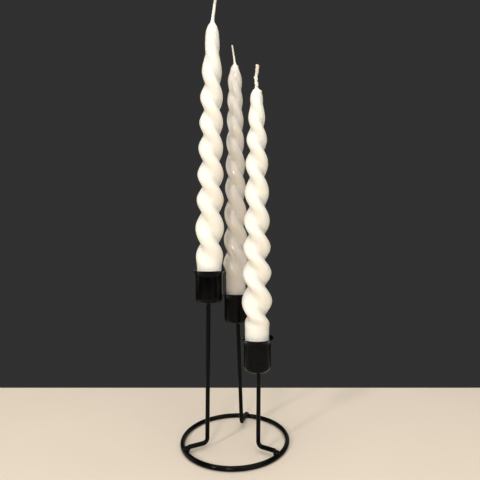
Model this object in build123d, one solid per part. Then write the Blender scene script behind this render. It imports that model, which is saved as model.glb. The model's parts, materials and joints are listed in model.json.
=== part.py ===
from build123d import *
from dataclasses import dataclass
import bisect
import math
import os

# Three-cup wire candle holder with three two-strand twisted taper candles.
# Millimetres. The origin is the centre of the base ring, on the surface that the ring
# stands on. +Z is up, and the lowest cup is towards -Y.

# Base ring: one wire bent round, its two ends closed by a butt weld
RING_OUTER_DIAMETER = 100.0
RING_WIRE_DIAMETER = 4.2
RING_JOINT_ANGLE = 66.0
RING_JOINT_GAP = 0.8
RING_JOINT_BEAD = 0.2

# Stems: a vertical run under each cup, a bend, and a foot that reaches over the ring
STEM_WIRE_DIAMETER = 3.8
STEM_BEND_RADIUS = 4.0
FOOT_HEIGHT = 5.5
FOOT_DROP_LENGTH = 3.0
FOOT_DROP_RADIUS = 3.0

# Cups: pressed from thin sheet, with a rounded bottom and a flared lip
CUP_BODY_DIAMETER = 23.8
CUP_LIP_DIAMETER = 29.8
CUP_HEIGHT = 29.2
CUP_WALL = 0.6
CUP_CORNER_RADIUS = 4.8
CUP_FLARE_HEIGHT = 5.0

# Welds: a bead where each foot meets the ring, and one under each cup
RING_WELD_RADIUS = 2.9
CUP_WELD_RADIUS = 2.7

# Candles: the gap under the butt, the rounding of its edge, its tiny step out from the
# strands, and how far they reach into it; the softness of the grooves' bottoms, and how far
# wax fills them, from 0, two round strands, to 1, flat from one strand to the other
SEAT_GAP = 0.15
BUTT_EDGE_RADIUS = 5.2
BUTT_STEP = 0.04
BUTT_OVERLAP = 4.0
GROOVE_SOFTNESS = 0.13
GROOVE_FILL = 0.78
TIP_FLAT_MARGIN = 0.35

# Wicks: they come straight out of the wax, then bend over gently
WICK_BEND_HEIGHT = 2.0
WICK_BEND_RADIUS = 30.0

# Candle surfaces: steps across a strand, sections along it, the step for finding where a
# tip ends, and a level edge's tolerance
STRAND_STEPS = 12
SECTION_SPACING = 3.6
TIP_SECTION_SHARES = (0, 0.06, 0.16, 0.32, 0.55, 0.8)
TIP_SEARCH_STEP = 0.01
LEVEL_TOLERANCE = 0.001

RING_RADIUS = (RING_OUTER_DIAMETER - RING_WIRE_DIAMETER) / 2
RING_AXIS_HEIGHT = RING_WIRE_DIAMETER / 2


@dataclass
class Holder:
    """One stem with its cup: places are polar about the ring's centre, in mm and degrees.

    lean_x is how far the stem's top stands from its foot, and cup_x how far the cup's
    centre is from the stem's top.
    """

    name: str
    rim_height: float
    stem_radius: float
    stem_angle: float
    weld_angle: float
    lean_x: float
    cup_x: float

    def stem_foot(self):
        """Where the stem's axis meets the level of its foot."""
        angle = math.radians(self.stem_angle)
        x = self.stem_radius * math.cos(angle)
        y = self.stem_radius * math.sin(angle)
        return Vector(x, y, FOOT_HEIGHT)

    def stem_top(self):
        """Where the stem's axis meets the cup's underside."""
        foot = self.stem_foot()
        return Vector(foot.X + self.lean_x, foot.Y, self.rim_height - CUP_HEIGHT)

    def cup_bottom(self):
        """Centre of the cup's underside."""
        return self.stem_top() + Vector(self.cup_x, 0, 0)


@dataclass
class Candle:
    """One twisted taper. Distances along it are measured down from its wax tip."""

    name: str
    length: float
    butt_diameter: float
    butt_length: float
    seat_x: float
    lean_deg: float
    # each strand's radius is its value at the tip plus a slope times the distance
    strand_radius: float
    strand_radius_slope: float
    # each strand's offset from the candle's axis, in the same way
    strand_offset: float
    strand_offset_slope: float
    # the strands part between these two distances
    lobe_start: float
    lobe_end: float
    # where the grooves cross the side that faces +X, half a turn apart
    grooves: tuple
    # length over which the strands melt into the butt
    butt_blend: float
    tip_length: float
    tip_power: float
    wick_diameter: float
    wick_stub: float
    wick_lean_deg: float


HOLDERS = [
    Holder("tall", 159.2, 27.5, 208.2, 208.2, 1.0, 0.5),
    Holder("middle", 133.8, 24.3, 79.1, 79.3, -3.6, -1.4),
    Holder("low", 100.6, 28.5, 318.1, 322.6, 0.4, -1.1),
]

CANDLES = [
    Candle(
        name="tall",
        length=250.2,
        butt_diameter=21.8,
        butt_length=26.0,
        seat_x=-0.15,
        lean_deg=0.75,
        strand_radius=5.52,
        strand_radius_slope=0.0123,
        strand_offset=3.0,
        strand_offset_slope=0.0095,
        lobe_start=0.0,
        lobe_end=60.0,
        grooves=(27.0, 54.5, 78.0, 100.0, 123.5, 146.5, 169.5, 197.0),
        butt_blend=27.0,
        tip_length=12.0,
        tip_power=0.6,
        wick_diameter=2.3,
        wick_stub=24.0,
        wick_lean_deg=7.0,
    ),
    Candle(
        name="middle",
        length=254.4,
        butt_diameter=19.4,
        butt_length=44.5,
        seat_x=-0.35,
        lean_deg=-0.3,
        strand_radius=5.5,
        strand_radius_slope=0.0137,
        strand_offset=1.0,
        strand_offset_slope=0.0165,
        lobe_start=-10.0,
        lobe_end=20.0,
        grooves=(26.0, 45.0, 65.5, 87.5, 110.5, 134.0, 160.5, 184.5),
        butt_blend=14.0,
        tip_length=17.0,
        tip_power=0.52,
        wick_diameter=1.6,
        wick_stub=18.0,
        wick_lean_deg=-8.0,
    ),
    Candle(
        name="low",
        length=247.0,
        butt_diameter=21.3,
        butt_length=37.5,
        seat_x=-0.26,
        lean_deg=-0.1,
        strand_radius=5.15,
        strand_radius_slope=0.0124,
        strand_offset=3.0,
        strand_offset_slope=0.0148,
        lobe_start=-15.0,
        lobe_end=60.0,
        grooves=(34.0, 54.5, 78.0, 103.5, 128.0, 150.5, 173.5, 199.5),
        butt_blend=11.0,
        tip_length=13.0,
        tip_power=0.38,
        wick_diameter=2.6,
        wick_stub=20.5,
        wick_lean_deg=3.0,
    ),
]


def smooth_step(value, low, high):
    """0 below low, 1 above high, and a smooth rise between them."""
    share = min(max((value - low) / (high - low), 0.0), 1.0)
    return share * share * (3.0 - 2.0 * share)


def polar_plane(angle_deg):
    """Plane across the ring's wire at one angle round the ring."""
    angle = math.radians(angle_deg)
    outward = Vector(math.cos(angle), math.sin(angle), 0)
    along = Vector(-math.sin(angle), math.cos(angle), 0)
    centre = outward * RING_RADIUS + Vector(0, 0, RING_AXIS_HEIGHT)
    return Plane(origin=centre, x_dir=outward, z_dir=along)


def closed_ring():
    """The ring without its joint, for cutting the parts that sit on it."""
    return Pos(0, 0, RING_AXIS_HEIGHT) * Torus(RING_RADIUS, RING_WIRE_DIAMETER / 2)


def ring_joint_disc(radius):
    """Short round plug across the ring's joint."""
    return polar_plane(RING_JOINT_ANGLE) * Cylinder(radius, RING_JOINT_GAP)


def base_ring():
    gap = ring_joint_disc(RING_WIRE_DIAMETER)
    return closed_ring() - gap


def ring_butt_weld():
    """Bead slightly proud of the wire on top, and ground flush underneath."""
    bead = ring_joint_disc(RING_WIRE_DIAMETER / 2 + RING_JOINT_BEAD)
    bead = fillet(bead.edges().filter_by(GeomType.CIRCLE), RING_JOINT_BEAD)
    return Pos(0, 0, RING_JOINT_BEAD) * bead


def weld_point(holder):
    """On the ring wire's axis, where a foot ends."""
    return polar_plane(holder.weld_angle).origin


def foot_corner(holder):
    """Where a foot turns down towards the ring."""
    weld = weld_point(holder)
    inward = Vector(-weld.X, -weld.Y, 0).normalized()
    rise = FOOT_HEIGHT - RING_AXIS_HEIGHT
    return weld + inward * FOOT_DROP_LENGTH + Vector(0, 0, rise)


def stem_axis_direction(holder):
    return (holder.stem_top() - holder.stem_foot()).normalized()


def stem_path(holder):
    """Axis of the wire: down from the cup, out along the foot, and down onto the ring."""
    top = holder.stem_top() + stem_axis_direction(holder) * STEM_WIRE_DIAMETER
    corners = [top, holder.stem_foot(), foot_corner(holder), weld_point(holder)]
    return FilletPolyline(*corners, radius=[STEM_BEND_RADIUS, FOOT_DROP_RADIUS])


def above_cup_bottom(holder):
    """Block over the level of a cup's underside, for trimming what ends there."""
    size = CUP_BODY_DIAMETER
    centre = holder.cup_bottom() + Vector(0, 0, size / 2)
    return Pos(centre) * Box(size, size, size)


def stem(holder):
    path = stem_path(holder)
    start = Plane(origin=path @ 0, z_dir=path % 0)
    wire = sweep(start * Circle(STEM_WIRE_DIAMETER / 2), path=path)
    return wire - closed_ring() - above_cup_bottom(holder)


def cup_profile():
    """Half section of the cup's wall, from the middle of its bottom to the lip."""
    outer = CUP_BODY_DIAMETER / 2
    inner = outer - CUP_WALL
    middle = outer - CUP_WALL / 2
    flare_width = (CUP_LIP_DIAMETER - CUP_WALL) / 2 - middle
    flare_turn = 2 * math.degrees(math.atan(flare_width / CUP_FLARE_HEIGHT))
    flare_radius = CUP_FLARE_HEIGHT / math.sin(math.radians(flare_turn))
    flare_start = CUP_HEIGHT - CUP_FLARE_HEIGHT - CUP_WALL / 2
    flare_centre = Vector(middle + flare_radius, flare_start)
    corner = Vector(outer - CUP_CORNER_RADIUS, CUP_CORNER_RADIUS)
    under = CenterArc(corner, CUP_CORNER_RADIUS, -90, 90)
    within = CenterArc(corner, CUP_CORNER_RADIUS - CUP_WALL, 0, -90)
    outside = CenterArc(flare_centre, flare_radius - CUP_WALL / 2, 180, -flare_turn)
    inside = CenterArc(flare_centre, flare_radius + CUP_WALL / 2, 180 - flare_turn, flare_turn)
    edge = TangentArc(outside @ 1, inside @ 0, tangent=outside % 1)
    outline = Curve() + [
        Line((0, 0), under @ 0),
        under,
        Line(under @ 1, outside @ 0),
        outside,
        edge,
        inside,
        Line((inner, flare_start), within @ 0),
        within,
        Line(within @ 1, (0, CUP_WALL)),
        Line((0, CUP_WALL), (0, 0)),
    ]
    return Plane.XZ * make_face(outline)


def cup(holder):
    return Pos(holder.cup_bottom()) * revolve(cup_profile(), Axis.Z)


def ring_weld(holder):
    """Bead where the foot lands on the ring, inside the angle between them."""
    weld = weld_point(holder)
    towards_foot = (foot_corner(holder) - weld).normalized()
    landing = weld + towards_foot * (RING_WIRE_DIAMETER / 2)
    bead = Pos(landing) * Sphere(RING_WELD_RADIUS)
    return bead - closed_ring() - stem(holder)


def cup_weld(holder):
    """Bead round the stem's end, against the cup's underside."""
    bead = Pos(holder.stem_top()) * Sphere(CUP_WELD_RADIUS)
    return bead - above_cup_bottom(holder) - stem(holder)


def twist_rate(grooves, index):
    """Half turns per mm at one groove crossing, from its neighbours."""
    before = max(index - 1, 0)
    after = min(index + 1, len(grooves) - 1)
    return (after - before) / (grooves[after] - grooves[before])


def strand_angle(candle, distance):
    """Direction of the line through both strands; the twist is left-handed.

    A smooth curve through the groove crossings, and straight on beyond them.
    """
    grooves = candle.grooves
    last = len(grooves) - 1
    index = min(max(bisect.bisect(grooves, distance) - 1, 0), last - 1)
    span = grooves[index + 1] - grooves[index]
    rate = twist_rate(grooves, index)
    next_rate = twist_rate(grooves, index + 1)
    share = (distance - grooves[index]) / span
    if share < 0:
        turned = share * span * rate
    elif share > 1:
        turned = 1 + (share - 1) * span * next_rate
    else:
        rise = share * share * (3 - 2 * share)
        leave = share * (1 - share) ** 2 * span * rate
        arrive = share * share * (share - 1) * span * next_rate
        turned = rise + leave + arrive
    return math.pi * (index + turned + 0.5)


def outline_radius(candle, distance, angle):
    """Radius of the wax at an angle from the line through both strands."""
    strand = candle.strand_radius + candle.strand_radius_slope * distance
    offset = candle.strand_offset + candle.strand_offset_slope * distance
    offset = offset * smooth_step(distance, candle.lobe_start, candle.lobe_end)
    along = math.hypot(math.cos(angle), GROOVE_SOFTNESS)
    across = offset * math.sin(angle)
    lobed = offset * along + math.sqrt(strand * strand - across * across)
    level = abs(math.sin(angle))
    if level * math.hypot(strand, offset) > strand:
        lobed += (strand / level - lobed) * GROOVE_FILL
    share = max(1 - distance / candle.tip_length, 0.0)
    lobed = lobed * (1 - share * share) ** candle.tip_power
    butt_start = candle.length - candle.butt_length
    roundness = smooth_step(distance, butt_start - candle.butt_blend, butt_start)
    round_radius = candle.butt_diameter / 2 - BUTT_STEP
    return lobed + (round_radius - lobed) * roundness


def strand_outline(candle, distance, first_angle):
    """Points on one strand's side of a section, from the groove at first_angle to the other."""
    turn = strand_angle(candle, distance)
    height = candle.length - distance
    points = []
    for index in range(STRAND_STEPS + 1):
        angle = first_angle + math.pi * index / STRAND_STEPS
        radius = outline_radius(candle, distance, angle)
        x = radius * math.cos(angle + turn)
        y = radius * math.sin(angle + turn)
        points.append(Vector(x, y, height))
    return points


def strand_surface(candle, first_angle):
    """One strand's outside, as a smooth surface from the tip down into the butt."""
    rows = [strand_outline(candle, distance, first_angle) for distance in section_distances(candle)]
    return Face.make_surface_from_array_of_points(rows, min_deg=3, max_deg=3)


def level_edges(shell):
    """Edges that lie level, sorted from the lowest."""
    level = []
    for edge in shell.edges():
        heights = [edge.position_at(share).Z for share in (0, 0.5, 1)]
        if max(heights) - min(heights) < LEVEL_TOLERANCE:
            level.append(edge)
    return sorted(level, key=lambda edge: edge.center().Z)


def twisted_body(candle):
    """Both strands, closed by a small flat at the tip and a round one inside the butt."""
    sides = [strand_surface(candle, groove) for groove in (-math.pi / 2, math.pi / 2)]
    edges = level_edges(Shell(sides))
    bottom = Face(Wire(edges[:2]))
    top = Face(Wire(edges[2:]))
    return Solid(Shell(sides + [bottom, top]))


def first_distance(candle):
    """Distance at which the tip is just wider than the wick that leaves it."""
    needed = candle.wick_diameter / 2 + TIP_FLAT_MARGIN
    distance = 0.0
    while outline_radius(candle, distance, 0.0) < needed:
        distance += TIP_SEARCH_STEP
    return distance


def section_distances(candle):
    """Distances of the sections, from the tip to a little way inside the butt."""
    butt_start = candle.length - candle.butt_length
    first = first_distance(candle)
    rounding = candle.tip_length - first
    distances = [first + rounding * share for share in TIP_SECTION_SHARES]
    steps = round((butt_start - candle.tip_length) / SECTION_SPACING)
    spacing = (butt_start - candle.tip_length) / steps
    distances += [candle.tip_length + spacing * step for step in range(steps + 1)]
    return distances + [butt_start + BUTT_OVERLAP]


def candle_place(candle, holder):
    """From the candle's own frame, butt down at its origin, to its seat in the cup."""
    seat = holder.cup_bottom() + Vector(candle.seat_x, 0, CUP_WALL + SEAT_GAP)
    return Pos(seat) * Rot(0, candle.lean_deg, 0)


def wick_rod(candle):
    """The wick: straight through the wax, then a stub that leans over."""
    tip = Vector(0, 0, candle.length)
    lean = math.radians(candle.wick_lean_deg)
    stub_end = tip + Vector(math.sin(lean), 0, math.cos(lean)) * candle.wick_stub
    bend = tip + Vector(0, 0, WICK_BEND_HEIGHT)
    path = FilletPolyline((0, 0, 0), bend, stub_end, radius=WICK_BEND_RADIUS)
    start = Plane(origin=path @ 0, z_dir=path % 0)
    return sweep(start * Circle(candle.wick_diameter / 2), path=path)


def candle_wax(candle, holder):
    """Twisted body with a round butt, bored for its wick."""
    butt = extrude(Circle(candle.butt_diameter / 2), candle.butt_length)
    lowest = butt.edges().group_by(Axis.Z)[0]
    butt = fillet(lowest, BUTT_EDGE_RADIUS)
    bore = extrude(Circle(candle.wick_diameter / 2), candle.length)
    return candle_place(candle, holder) * (butt + twisted_body(candle) - bore)


def candle_wick(candle, holder):
    return candle_place(candle, holder) * wick_rod(candle)


def save(shape, node):
    solids = shape.solids()
    whole = solids[0] if len(solids) == 1 else Compound(children=solids)
    whole.label = node
    export_step(whole, f"parts/{node}.step")


os.makedirs("parts", exist_ok=True)
save(base_ring(), "base_ring")
save(ring_butt_weld(), "ring_butt_weld")
for holder, candle in zip(HOLDERS, CANDLES):
    save(stem(holder), f"{holder.name}_stem")
    save(cup(holder), f"{holder.name}_cup")
    save(ring_weld(holder), f"{holder.name}_ring_weld")
    save(cup_weld(holder), f"{holder.name}_cup_weld")
    save(candle_wax(candle, holder), f"{candle.name}_candle_wax")
    save(candle_wick(candle, holder), f"{candle.name}_candle_wick")
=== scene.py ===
"""Looks for a three-cup wire candle holder with three two-strand twisted taper candles.

Lengths are in metres, except where a comment says mm. Each candle's place comes from the
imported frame; what its outline needs beyond that is named below.
"""
import json
import math
from dataclasses import dataclass

import bpy
import numpy as np
from mathutils import Matrix, Vector
from mathutils import noise as perlin


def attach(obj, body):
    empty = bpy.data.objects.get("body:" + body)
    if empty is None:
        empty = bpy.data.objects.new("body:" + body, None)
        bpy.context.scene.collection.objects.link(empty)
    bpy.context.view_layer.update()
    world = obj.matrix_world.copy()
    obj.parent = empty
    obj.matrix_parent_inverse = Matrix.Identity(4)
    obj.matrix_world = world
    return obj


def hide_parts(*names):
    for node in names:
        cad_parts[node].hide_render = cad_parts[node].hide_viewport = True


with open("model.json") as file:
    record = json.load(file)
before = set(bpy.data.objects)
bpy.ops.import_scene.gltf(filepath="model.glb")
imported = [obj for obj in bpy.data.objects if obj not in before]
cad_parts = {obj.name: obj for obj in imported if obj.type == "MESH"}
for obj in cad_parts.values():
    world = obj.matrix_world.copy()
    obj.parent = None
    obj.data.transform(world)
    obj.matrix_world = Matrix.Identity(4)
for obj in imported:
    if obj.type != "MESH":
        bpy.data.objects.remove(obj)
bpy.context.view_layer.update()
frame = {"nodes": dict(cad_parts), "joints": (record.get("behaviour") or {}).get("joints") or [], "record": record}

MM = 0.001

# Camera: level, in front of the lowest cup; its lens and sensor are in mm
CAMERA_PLACE = (0.0228, -0.3654, 0.1883)
CAMERA_LENS = 29.6
CAMERA_SENSOR = 36.0
CAMERA_SHIFT = (-0.0417, -0.0052)
CAMERA_CLIP_START = 0.01

# Table top: it ends a little way behind the holder
FLOOR_BACK = 0.129
FLOOR_FRONT = -0.80
FLOOR_HALF_WIDTH = 0.70
FLOOR_CORNER = 0.05
FLOOR_CORNER_POINTS = 13
FLOOR_THICKNESS = 0.018

# Lamps: name, place, width, height and power in watts. The key is tall, to reach more of the
# middle candle's necks. The window is small, for the stems' shadows. The side lamp is for the
# middle candle's left flank.
LAMPS = (
    ("key", (-0.19, -1.19, 0.68), 0.20, 0.48, 5.3),
    ("window", (-0.82, -1.01, 0.70), 0.16, 0.16, 6.0),
    ("fill", (0.75, -1.10, 0.60), 1.2, 1.2, 5.8),
    ("side", (-1.15, 0.20, 0.45), 0.9, 0.9, 2.4),
    ("rear", (0.35, 1.25, 0.75), 1.2, 1.2, 1.5),
    ("top", (0.1, -0.15, 1.30), 1.7, 1.7, 12.5),
)
LAMP_TARGET = (0.0, 0.0, 0.2)
LAMP_COLOUR = (1.0, 0.985, 0.955)
WORLD_COLOUR = (0.030, 0.030, 0.030, 1.0)

# Materials: the noise values that a roughness is spread over, then each one's own looks
NOISE_RANGE = (0.3, 0.7)
ENAMEL_DARK = (0.0012, 0.0012, 0.0014)
ENAMEL_LIGHT = (0.0028, 0.0028, 0.0031)
ENAMEL_ROUGHNESS = (0.13, 0.20)
ENAMEL_SPECULAR = 0.085
ENAMEL_PEEL_DEPTH = 0.04 * MM
ENAMEL_RIPPLE_DEPTH = 0.02 * MM
WELD_RIPPLE_DEPTH = 0.12 * MM
WAX_SCATTER = (1.0, 0.78, 0.58)
WAX_IOR = 1.44
WAX_SKIN_DEPTH = 0.10 * MM
WAX_GRAIN_DEPTH = 0.04 * MM
COTTON_DARK = (0.64, 0.55, 0.44)
COTTON_LIGHT = (0.87, 0.80, 0.70)
COTTON_SCATTER = (1.0, 0.7, 0.4)
COTTON_SCATTER_DEPTH = 1.0 * MM
COTTON_FIBRE_DEPTH = 0.08 * MM
BARE_COTTON_ROUGHNESS = 0.85
WAXED_COTTON_ROUGHNESS = 0.35
FLOOR_DARK = (0.83, 0.72, 0.585)
FLOOR_LIGHT = (0.86, 0.75, 0.615)
FLOOR_ROUGHNESS = 0.62

# Candle meshes
RING_SPACING = 0.75 * MM
TIP_RINGS = 40
BUTT_RINGS = 16
BUTT_EDGE_RINGS = 14
POINTS_ROUND = 112
GROOVE_SOFTNESS = 0.07
# how far the wax fills the groove, from 0, two round strands, to 1, flat from one to the other
GROOVE_FILL = 0.86
BUTT_EDGE_RADIUS = 5.2 * MM
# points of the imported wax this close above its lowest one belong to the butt's underside
BUTT_FLATNESS = 0.02 * MM

# Unevenness of the wax: slow waves, a finer ripple, how much of both the butt keeps, and the
# size of the drips at the tip
WAVE_SIZE = 13.0 * MM
WAVE_HEIGHT = 0.20 * MM
RIPPLE_SIZE = 4.2 * MM
RIPPLE_HEIGHT = 0.05 * MM
BUTT_SHARE = 0.35
NIB_SIZE = 0.55 * MM

# Wick meshes: how far one comes out under the butt, a ring inside the wax, and the lowest of
# the close rings, both below the wax tip
WICK_UNDER_BUTT = 0.05 * MM
WICK_INNER_RING = 3.0 * MM
WICK_LOWEST_RING = 1.0 * MM
WICK_RING_SPACING = 0.2 * MM
WICK_POINTS_ROUND = 36
# the braid, its relief measured from a middle level, and the share of it that wax hides
BRAID_PITCH = 3.6 * MM
BRAID_STRANDS = 3
BRAID_RELIEF = 0.13 * MM
BRAID_MIDDLE = 0.5
BRAID_HIDDEN = 0.8
# the collar of wax round its foot, the coat's lumps, and the share of the coat's height at
# which it starts to thin
COLLAR_HEIGHT = 0.55 * MM
COLLAR_LENGTH = 0.8 * MM
LUMP_SIZE = 1.7 * MM
COAT_THINS_AT = 0.75
# length of the slanted cut
CUT_LENGTH = 1.5 * MM


@dataclass
class WaxLook:
    """Colour and gloss of one candle wax."""

    light: tuple
    shade: tuple
    # least and greatest
    roughness: tuple
    # how far light scatters in it
    scatter_depth: float
    coat_weight: float
    coat_roughness: float


WAX_LOOKS = {
    "ivory": WaxLook(
        light=(0.92, 0.88, 0.795),
        shade=(0.895, 0.855, 0.77),
        roughness=(0.34, 0.46),
        scatter_depth=3.5 * MM,
        coat_weight=0.25,
        coat_roughness=0.24,
    ),
    "greige": WaxLook(
        light=(0.835, 0.78, 0.705),
        shade=(0.805, 0.745, 0.665),
        roughness=(0.30, 0.42),
        scatter_depth=3.0 * MM,
        coat_weight=1.0,
        coat_roughness=0.08,
    ),
}


@dataclass
class Wick:
    """What shows of a candle's wick. Heights are above the wax tip."""

    # its middle line: heights, and how far it stands to the side at each, in mm
    heights: tuple
    sides: tuple
    base_radius: float
    top_radius: float
    # wax coats it up to this height, with lumps that stand out this far
    wax_top: float
    lumps: float
    # rise of the cut across its end
    cut_slope: float


@dataclass
class Candle:
    """One twisted taper. Distances along it are measured down from its wax tip."""

    name: str
    wax: str
    length: float
    butt_diameter: float
    butt_length: float
    # each strand's radius is its value at the tip plus a slope times the distance
    strand_radius: float
    strand_radius_slope: float
    # each strand's offset from the candle's axis, in the same way
    strand_offset: float
    strand_offset_slope: float
    # the strands part between these two distances
    lobe_start: float
    lobe_end: float
    # where the grooves cross the side that faces +X, half a turn apart, in mm
    grooves: tuple
    # length over which the strands melt into the butt
    butt_blend: float
    tip_length: float
    tip_power: float
    # drips of wax at the tip: distance in mm, direction in degrees, and height in mm
    nibs: tuple
    wick: Wick


CANDLES = [
    Candle(
        name="tall",
        wax="ivory",
        length=250.2 * MM,
        butt_diameter=21.8 * MM,
        butt_length=26.0 * MM,
        strand_radius=5.52 * MM,
        strand_radius_slope=0.0123,
        strand_offset=3.0 * MM,
        strand_offset_slope=0.0095,
        lobe_start=0.0 * MM,
        lobe_end=60.0 * MM,
        grooves=(27.0, 54.5, 78.0, 100.0, 123.5, 146.5, 169.5, 197.0),
        butt_blend=27.0 * MM,
        tip_length=12.0 * MM,
        tip_power=0.6,
        nibs=(),
        wick=Wick(
            heights=(0.0, 3.0, 10.0, 24.0),
            sides=(0.0, 0.2, 1.05, 2.75),
            base_radius=1.42 * MM,
            top_radius=1.15 * MM,
            wax_top=17.0 * MM,
            lumps=0.05 * MM,
            cut_slope=0.0,
        ),
    ),
    Candle(
        name="middle",
        wax="greige",
        length=254.4 * MM,
        butt_diameter=19.4 * MM,
        butt_length=44.5 * MM,
        strand_radius=5.5 * MM,
        strand_radius_slope=0.0137,
        strand_offset=1.0 * MM,
        strand_offset_slope=0.0165,
        lobe_start=-10.0 * MM,
        lobe_end=20.0 * MM,
        grooves=(26.0, 45.0, 65.5, 87.5, 110.5, 134.0, 160.5, 184.5),
        butt_blend=14.0 * MM,
        tip_length=17.0 * MM,
        tip_power=0.52,
        nibs=((2.2, 5.0, 0.9), (3.0, 100.0, 0.4)),
        wick=Wick(
            heights=(0.0, 3.0, 10.0, 18.0),
            sides=(0.0, -0.3, -1.3, -2.45),
            base_radius=0.98 * MM,
            top_radius=0.72 * MM,
            wax_top=7.0 * MM,
            lumps=0.05 * MM,
            cut_slope=-0.3,
        ),
    ),
    Candle(
        name="low",
        wax="ivory",
        length=247.0 * MM,
        butt_diameter=21.3 * MM,
        butt_length=37.5 * MM,
        strand_radius=5.15 * MM,
        strand_radius_slope=0.0124,
        strand_offset=3.0 * MM,
        strand_offset_slope=0.0148,
        lobe_start=-15.0 * MM,
        lobe_end=60.0 * MM,
        grooves=(34.0, 54.5, 78.0, 103.5, 128.0, 150.5, 173.5, 199.5),
        butt_blend=11.0 * MM,
        tip_length=13.0 * MM,
        tip_power=0.38,
        nibs=((2.3, 0.0, 1.25), (1.6, 150.0, 0.4)),
        wick=Wick(
            heights=(0.0, 4.0, 9.5, 12.0, 20.4),
            sides=(0.0, -0.1, -0.7, -0.1, 0.9),
            base_radius=1.22 * MM,
            top_radius=1.5 * MM,
            wax_top=12.0 * MM,
            lumps=0.95 * MM,
            cut_slope=-0.4,
        ),
    ),
]


# ---------------------------------------------------------------- materials


def new_material(name):
    """A new node material, its node tree and its Principled shader."""
    material = bpy.data.materials.new(name)
    material.use_nodes = True
    tree = material.node_tree
    shader = tree.nodes["Principled BSDF"]
    return material, tree, shader


def add_node(tree, kind, **settings):
    """A node with some of its properties or named inputs set."""
    node = tree.nodes.new(kind)
    for key, value in settings.items():
        if hasattr(node, key):
            setattr(node, key, value)
        else:
            node.inputs[key.replace("_", " ")].default_value = value
    return node


def noise(tree, coords, scale, detail=3.0, roughness=0.5):
    node = add_node(tree, "ShaderNodeTexNoise", Scale=scale, Detail=detail, Roughness=roughness)
    tree.links.new(coords, node.inputs["Vector"])
    return node.outputs["Fac"]


def ramp(tree, value, range_in, range_out):
    """Maps value from one range to another."""
    node = tree.nodes.new("ShaderNodeMapRange")
    for index, number in enumerate((*range_in, *range_out)):
        node.inputs[index + 1].default_value = number
    tree.links.new(value, node.inputs[0])
    return node.outputs[0]


def colour_ramp(tree, value, stops):
    """Colour ramp with (place, colour) stops."""
    node = tree.nodes.new("ShaderNodeValToRGB")
    elements = node.color_ramp.elements
    while len(elements) < len(stops):
        elements.new(0.5)
    for element, (place, colour) in zip(elements, stops):
        element.position = place
        element.color = (*colour, 1.0)
    tree.links.new(value, node.inputs["Fac"])
    return node.outputs["Color"]


def set_inputs(shader, values):
    for name, value in values.items():
        shader.inputs[name].default_value = value


def bump(tree, height, strength, distance, normal=None):
    """Normal from a height, on top of another normal where one is given."""
    node = add_node(tree, "ShaderNodeBump", Strength=strength, Distance=distance)
    tree.links.new(height, node.inputs["Height"])
    if normal is not None:
        tree.links.new(normal, node.inputs["Normal"])
    return node.outputs["Normal"]


def object_coords(tree):
    return tree.nodes.new("ShaderNodeTexCoord").outputs["Object"]


def paint_material(name, ripple_depth):
    """Black satin stove enamel: fine orange peel over a ripple, and gloss that varies a little."""
    material, tree, shader = new_material(name)
    coords = object_coords(tree)
    shade = noise(tree, coords, scale=90.0)
    colour = colour_ramp(tree, shade, [(0.3, ENAMEL_DARK), (0.75, ENAMEL_LIGHT)])
    tree.links.new(colour, shader.inputs["Base Color"])
    rough = ramp(tree, noise(tree, coords, scale=240.0), NOISE_RANGE, ENAMEL_ROUGHNESS)
    tree.links.new(rough, shader.inputs["Roughness"])
    ripple = noise(tree, coords, scale=420.0, detail=2.0)
    rippled = bump(tree, ripple, strength=0.5, distance=ripple_depth)
    peel = noise(tree, coords, scale=1300.0, detail=2.0)
    peeled = bump(tree, peel, strength=0.2, distance=ENAMEL_PEEL_DEPTH, normal=rippled)
    tree.links.new(peeled, shader.inputs["Normal"])
    set_inputs(shader, {"Specular IOR Level": ENAMEL_SPECULAR})
    return material


def wax_material(name, look):
    """Cast candle wax: light scatters in it, with faint clouding under a polished skin."""
    material, tree, shader = new_material(name)
    coords = object_coords(tree)
    cloud = noise(tree, coords, scale=70.0, detail=4.0)
    colour = colour_ramp(tree, cloud, [(0.3, look.shade), (0.7, look.light)])
    tree.links.new(colour, shader.inputs["Base Color"])
    rough = ramp(tree, noise(tree, coords, scale=160.0), NOISE_RANGE, look.roughness)
    tree.links.new(rough, shader.inputs["Roughness"])
    skin = noise(tree, coords, scale=260.0, detail=3.0)
    smoothed = bump(tree, skin, strength=0.35, distance=WAX_SKIN_DEPTH)
    grain = noise(tree, coords, scale=1500.0, detail=2.0)
    grained = bump(tree, grain, strength=0.15, distance=WAX_GRAIN_DEPTH, normal=smoothed)
    tree.links.new(grained, shader.inputs["Normal"])
    set_inputs(shader, {
        "Subsurface Weight": 1.0,
        "Subsurface Radius": WAX_SCATTER,
        "Subsurface Scale": look.scatter_depth,
        "IOR": WAX_IOR,
        "Coat Weight": look.coat_weight,
        "Coat Roughness": look.coat_roughness,
    })
    return material


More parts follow.
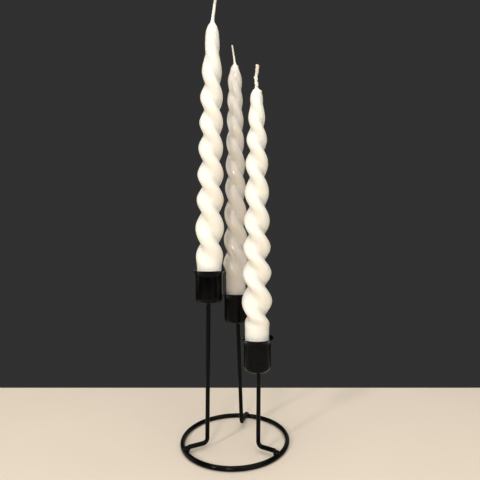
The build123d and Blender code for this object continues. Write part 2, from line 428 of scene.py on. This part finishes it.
def wick_material(name, wax_colour):
    """Braided cotton, with candle wax over its lower part."""
    material, tree, shader = new_material(name)
    coords = object_coords(tree)
    waxed = add_node(tree, "ShaderNodeAttribute", attribute_name="waxed").outputs["Fac"]
    fibre = noise(tree, coords, scale=2600.0, detail=4.0, roughness=0.7)
    cotton = colour_ramp(tree, fibre, [(0.3, COTTON_DARK), (0.7, COTTON_LIGHT)])
    coated = tree.nodes.new("ShaderNodeMix")
    coated.data_type = "RGBA"
    tree.links.new(waxed, coated.inputs["Factor"])
    tree.links.new(cotton, coated.inputs["A"])
    coated.inputs["B"].default_value = (*wax_colour, 1.0)
    tree.links.new(coated.outputs["Result"], shader.inputs["Base Color"])
    rough = ramp(tree, waxed, (0.0, 1.0), (BARE_COTTON_ROUGHNESS, WAXED_COTTON_ROUGHNESS))
    tree.links.new(rough, shader.inputs["Roughness"])
    fibrous = bump(tree, fibre, strength=0.5, distance=COTTON_FIBRE_DEPTH)
    tree.links.new(fibrous, shader.inputs["Normal"])
    set_inputs(shader, {
        "Subsurface Weight": 0.5,
        "Subsurface Radius": COTTON_SCATTER,
        "Subsurface Scale": COTTON_SCATTER_DEPTH,
    })
    return material


def floor_material():
    """Plain pale paint, very slightly mottled."""
    material, tree, shader = new_material("pale_floor")
    mottle = noise(tree, object_coords(tree), scale=6.0)
    colour = colour_ramp(tree, mottle, [(0.2, FLOOR_DARK), (0.8, FLOOR_LIGHT)])
    tree.links.new(colour, shader.inputs["Base Color"])
    set_inputs(shader, {"Roughness": FLOOR_ROUGHNESS})
    return material


def give(obj, material):
    """The object's only material, on all its faces."""
    obj.data.materials.clear()
    obj.data.materials.append(material)
    for polygon in obj.data.polygons:
        polygon.material_index = 0


# ---------------------------------------------------------------- candles


def smooth_step(value, low, high):
    """0 below low, 1 above high, and a smooth rise between them."""
    share = np.clip((value - low) / (high - low), 0.0, 1.0)
    return share * share * (3.0 - 2.0 * share)


def smooth_curve(places, values, place):
    """A smooth curve through pairs of places and values, and straight on beyond their ends."""
    places = np.array(places, dtype=float)
    values = np.array(values, dtype=float)
    before = np.maximum(np.arange(len(places)) - 1, 0)
    after = np.minimum(np.arange(len(places)) + 1, len(places) - 1)
    slopes = (values[after] - values[before]) / (places[after] - places[before])
    index = np.clip(np.searchsorted(places, place, side="right") - 1, 0, len(places) - 2)
    span = places[index + 1] - places[index]
    share = (place - places[index]) / span
    within = np.clip(share, 0.0, 1.0)
    rise = within * within * (3 - 2 * within) * (values[index + 1] - values[index])
    leave = within * (1 - within) ** 2 * span * slopes[index]
    arrive = within * within * (within - 1) * span * slopes[index + 1]
    before_start = np.minimum(share, 0.0) * span * slopes[index]
    past_end = np.maximum(share - 1.0, 0.0) * span * slopes[index + 1]
    return values[index] + rise + leave + arrive + before_start + past_end


def strand_angle(candle, distance):
    """Direction of the line through both strands; the twist is left-handed."""
    half_turns = smooth_curve(candle.grooves, range(len(candle.grooves)), distance / MM)
    return math.pi * (half_turns + 0.5)


def outline_radius(candle, distance, angle):
    """Radius of the wax at an angle from the line through both strands."""
    strand = candle.strand_radius + candle.strand_radius_slope * distance
    offset = candle.strand_offset + candle.strand_offset_slope * distance
    offset = offset * smooth_step(distance, candle.lobe_start, candle.lobe_end)
    along = np.hypot(np.cos(angle), GROOVE_SOFTNESS)
    across = offset * np.sin(angle)
    lobed = offset * along + np.sqrt(strand * strand - across * across)
    flat = strand / np.maximum(np.abs(np.sin(angle)), strand / (strand + offset))
    between = np.abs(np.sin(angle)) * math.hypot(strand, offset) > strand
    lobed = lobed + between * np.maximum(flat - lobed, 0.0) * GROOVE_FILL
    share = np.clip(1 - distance / candle.tip_length, 0.0, 1.0)
    lobed = lobed * (1 - share * share) ** candle.tip_power
    butt_start = candle.length - candle.butt_length
    roundness = smooth_step(distance, butt_start - candle.butt_blend, butt_start)
    radius = lobed + (candle.butt_diameter / 2 - lobed) * roundness
    into_edge = np.clip(distance - (candle.length - BUTT_EDGE_RADIUS), 0.0, BUTT_EDGE_RADIUS)
    return radius - BUTT_EDGE_RADIUS + np.sqrt(BUTT_EDGE_RADIUS ** 2 - into_edge ** 2)


def ring_distances(candle):
    """Distances of the mesh's rings: close together at the tip and round the butt's edge."""
    butt_start = candle.length - candle.butt_length
    tip = candle.tip_length * (1 - np.cos(np.linspace(0.0, math.pi / 2, TIP_RINGS)))
    steps = int((butt_start - candle.tip_length) / RING_SPACING)
    body = np.linspace(candle.tip_length, butt_start, steps)
    butt = np.linspace(butt_start, candle.length - BUTT_EDGE_RADIUS, BUTT_RINGS)
    turned = np.linspace(0.0, math.pi / 2, BUTT_EDGE_RINGS)
    edge = candle.length - BUTT_EDGE_RADIUS * (1 - np.sin(turned))
    return np.concatenate([tip[1:], body[1:], butt[1:], edge[1:]])


def candle_axis(candle):
    """Placement of a candle: its butt's centre, and its own axis as Z."""
    joint = next(j for j in frame["joints"] if j["child"] == f"{candle.name}_candle")
    axis = Vector(joint["axis"]).normalized()
    wax = frame["nodes"][f"{candle.name}_candle_wax"].data
    heights = [vertex.co.dot(axis) for vertex in wax.vertices]
    lowest = min(heights)
    butt = [v.co for v, height in zip(wax.vertices, heights) if height < lowest + BUTT_FLATNESS]
    middle = Vector([(min(c[i] for c in butt) + max(c[i] for c in butt)) / 2 for i in range(3)])
    turn = Vector((0, 0, 1)).rotation_difference(axis).to_matrix().to_4x4()
    return Matrix.Translation(middle) @ turn


def mesh_object(name, points, faces):
    mesh = bpy.data.meshes.new(name)
    mesh.from_pydata([tuple(p) for p in points], [], faces)
    mesh.update()
    for polygon in mesh.polygons:
        polygon.use_smooth = True
    obj = bpy.data.objects.new(name, mesh)
    bpy.context.scene.collection.objects.link(obj)
    return obj


def tube_faces(rings, around):
    """Quads between rings of points, and a cap on each end."""
    faces = []
    for ring in range(rings - 1):
        for step in range(around):
            following = (step + 1) % around
            low = ring * around
            high = low + around
            faces.append((low + step, low + following, high + following, high + step))
    last = (rings - 1) * around
    faces.append(tuple(reversed(range(around))))
    faces.append(tuple(range(last, last + around)))
    return faces


def unevenness(candle, x, y, z):
    """How far the wax stands out from its true shape at one point."""
    seed = candle.length * candle.butt_diameter / MM
    wave = perlin.noise(Vector((x, y, z)) / WAVE_SIZE + Vector((seed, 0, 0)))
    ripple = perlin.noise(Vector((x, y, z)) / RIPPLE_SIZE + Vector((0, seed, 0)))
    return wave * WAVE_HEIGHT + ripple * RIPPLE_HEIGHT


def nib_height(candle, distance, radius, directions):
    """What the drips of wax at the tip add to the radius in some directions."""
    height = np.zeros_like(directions)
    for nib_distance, nib_direction, nib in candle.nibs:
        turn = np.angle(np.exp(1j * (directions - math.radians(nib_direction))))
        along = (distance - nib_distance * MM) / NIB_SIZE
        height += nib * MM * np.exp(-(along ** 2 + (radius * turn / NIB_SIZE) ** 2) / 2)
    return height


def wax_mesh(candle):
    """The wax as one closed tube of rings, from the butt's underside up to the tip."""
    distances = ring_distances(candle)[::-1]
    angles = np.linspace(0.0, 2 * math.pi, POINTS_ROUND, endpoint=False)
    butt_start = candle.length - candle.butt_length
    butt_end = butt_start + candle.butt_diameter
    points = []
    for distance in distances:
        directions = angles + strand_angle(candle, distance)
        radius = outline_radius(candle, distance, angles)
        radius = radius + nib_height(candle, distance, radius, directions)
        z = candle.length - distance
        share = 1 + (BUTT_SHARE - 1) * smooth_step(distance, butt_start, butt_end)
        for way, out in zip(directions, radius):
            x = math.cos(way)
            y = math.sin(way)
            full = out + share * unevenness(candle, out * x, out * y, z)
            points.append((full * x, full * y, z))
    return mesh_object(f"{candle.name}_wax", points, tube_faces(len(distances), POINTS_ROUND))


def wick_heights(candle):
    """Heights of the wick's rings: one under the butt, one in the wax, and then close rings."""
    top = candle.wick.heights[-1] * MM
    steps = int(top / WICK_RING_SPACING)
    hidden = [-candle.length - WICK_UNDER_BUTT, -WICK_INNER_RING]
    return np.concatenate([hidden, np.linspace(-WICK_LOWEST_RING, top, steps)])


def wick_radius(wick, height, angles, waxed):
    """Radius of a wick's ring, with the braid's relief where no wax hides it."""
    top = wick.heights[-1] * MM
    shown = smooth_step(height, 0.0, top)
    plain = wick.base_radius + (wick.top_radius - wick.base_radius) * shown
    collar = COLLAR_HEIGHT * math.exp(-max(height, 0.0) / COLLAR_LENGTH)
    climb = 2 * math.pi * height / BRAID_PITCH
    around = BRAID_STRANDS * angles
    plaits = np.maximum(np.cos(around + climb), np.cos(around - climb))
    return plain + collar + BRAID_RELIEF * (plaits - BRAID_MIDDLE) * (1 - BRAID_HIDDEN * waxed)


def wick_mesh(candle):
    """Braided wick: straight through the wax, then along its middle line to a slanted cut."""
    wick = candle.wick
    heights = wick_heights(candle)
    top = heights[-1]
    angles = np.linspace(0.0, 2 * math.pi, WICK_POINTS_ROUND, endpoint=False)
    points = []
    coats = []
    for height in heights:
        waxed = 1 - smooth_step(height, COAT_THINS_AT * wick.wax_top, wick.wax_top)
        side = float(smooth_curve(wick.heights, wick.sides, max(height, 0.0) / MM)) * MM
        slope = wick.cut_slope * smooth_step(height, top - CUT_LENGTH, top)
        for angle, radius in zip(angles, wick_radius(wick, height, angles, waxed)):
            x = radius * math.cos(angle)
            y = radius * math.sin(angle)
            lump = waxed * wick.lumps * perlin.noise(Vector((x, y, height)) / LUMP_SIZE)
            grow = 1 + lump / radius
            points.append((x * grow + side, y * grow, candle.length + height + slope * x))
            coats.append(waxed)
    piece = mesh_object(f"{candle.name}_wick", points, tube_faces(len(heights), WICK_POINTS_ROUND))
    layer = piece.data.attributes.new("waxed", "FLOAT", "POINT")
    layer.data.foreach_set("value", coats)
    return piece


def place(piece, candle):
    piece.data.transform(candle_axis(candle))


# ---------------------------------------------------------------- stage


def add_floor(material):
    """Plain slab with rounded corners."""
    rim = []
    for x, y, start in (
        (FLOOR_HALF_WIDTH, FLOOR_BACK, 0.0),
        (-FLOOR_HALF_WIDTH, FLOOR_BACK, 90.0),
        (-FLOOR_HALF_WIDTH, FLOOR_FRONT, 180.0),
        (FLOOR_HALF_WIDTH, FLOOR_FRONT, 270.0),
    ):
        centre_x = x - math.copysign(FLOOR_CORNER, x)
        centre_y = y - math.copysign(FLOOR_CORNER, y)
        for turn in np.radians(np.linspace(start, start + 90.0, FLOOR_CORNER_POINTS)):
            rim_x = centre_x + FLOOR_CORNER * math.cos(turn)
            rim_y = centre_y + FLOOR_CORNER * math.sin(turn)
            rim.append((rim_x, rim_y))
    points = [(x, y, -FLOOR_THICKNESS) for x, y in rim] + [(x, y, 0.0) for x, y in rim]
    floor = mesh_object("floor", points, tube_faces(2, len(rim)))
    for polygon in floor.data.polygons:
        polygon.use_smooth = False
    give(floor, material)


def add_area(name, place_at, width, height, power):
    """Elliptical lamp that points at the target and that the camera does not see."""
    light = bpy.data.lights.new(name, "AREA")
    light.shape = "ELLIPSE"
    light.size = width
    light.size_y = height
    light.energy = power
    light.color = LAMP_COLOUR
    lamp = bpy.data.objects.new(name, light)
    lamp.visible_camera = False
    lamp.location = place_at
    towards = Vector(LAMP_TARGET) - Vector(place_at)
    lamp.rotation_euler = towards.to_track_quat("-Z", "Y").to_euler()
    bpy.context.scene.collection.objects.link(lamp)


def add_world():
    world = bpy.data.worlds.new("studio")
    world.use_nodes = True
    background = world.node_tree.nodes["Background"]
    background.inputs["Color"].default_value = WORLD_COLOUR
    background.inputs["Strength"].default_value = 1.0
    bpy.context.scene.world = world


def add_camera():
    camera = bpy.data.cameras.new("camera")
    camera.lens = CAMERA_LENS
    camera.sensor_width = CAMERA_SENSOR
    camera.shift_x, camera.shift_y = CAMERA_SHIFT
    camera.clip_start = CAMERA_CLIP_START
    obj = bpy.data.objects.new("camera", camera)
    obj.location = CAMERA_PLACE
    obj.rotation_euler = (math.pi / 2, 0.0, 0.0)
    bpy.context.scene.collection.objects.link(obj)
    bpy.context.scene.camera = obj


# ---------------------------------------------------------------- assembly

enamel = paint_material("black_enamel", ENAMEL_RIPPLE_DEPTH)
weld_enamel = paint_material("black_enamel_weld", WELD_RIPPLE_DEPTH)
waxes = {}
wicks = {}
for colour, look in WAX_LOOKS.items():
    waxes[colour] = wax_material(f"{colour}_wax", look)
    wicks[colour] = wick_material(f"{colour}_waxed_cotton", look.light)

for node in frame["record"]["behaviour"]["bodies"]["holder"]:
    give(frame["nodes"][node], weld_enamel if "weld" in node else enamel)

for candle in CANDLES:
    body = f"{candle.name}_candle"
    colour = candle.wax
    wax = wax_mesh(candle)
    wick = wick_mesh(candle)
    for piece, material in ((wax, waxes[colour]), (wick, wicks[colour])):
        place(piece, candle)
        give(piece, material)
        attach(piece, body)
    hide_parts(f"{body}_wax")
    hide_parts(f"{body}_wick")

add_floor(floor_material())
for name, place_at, width, height, power in LAMPS:
    add_area(name, place_at, width, height, power)
add_world()
add_camera()
bpy.context.scene.view_settings.view_transform = "Standard"
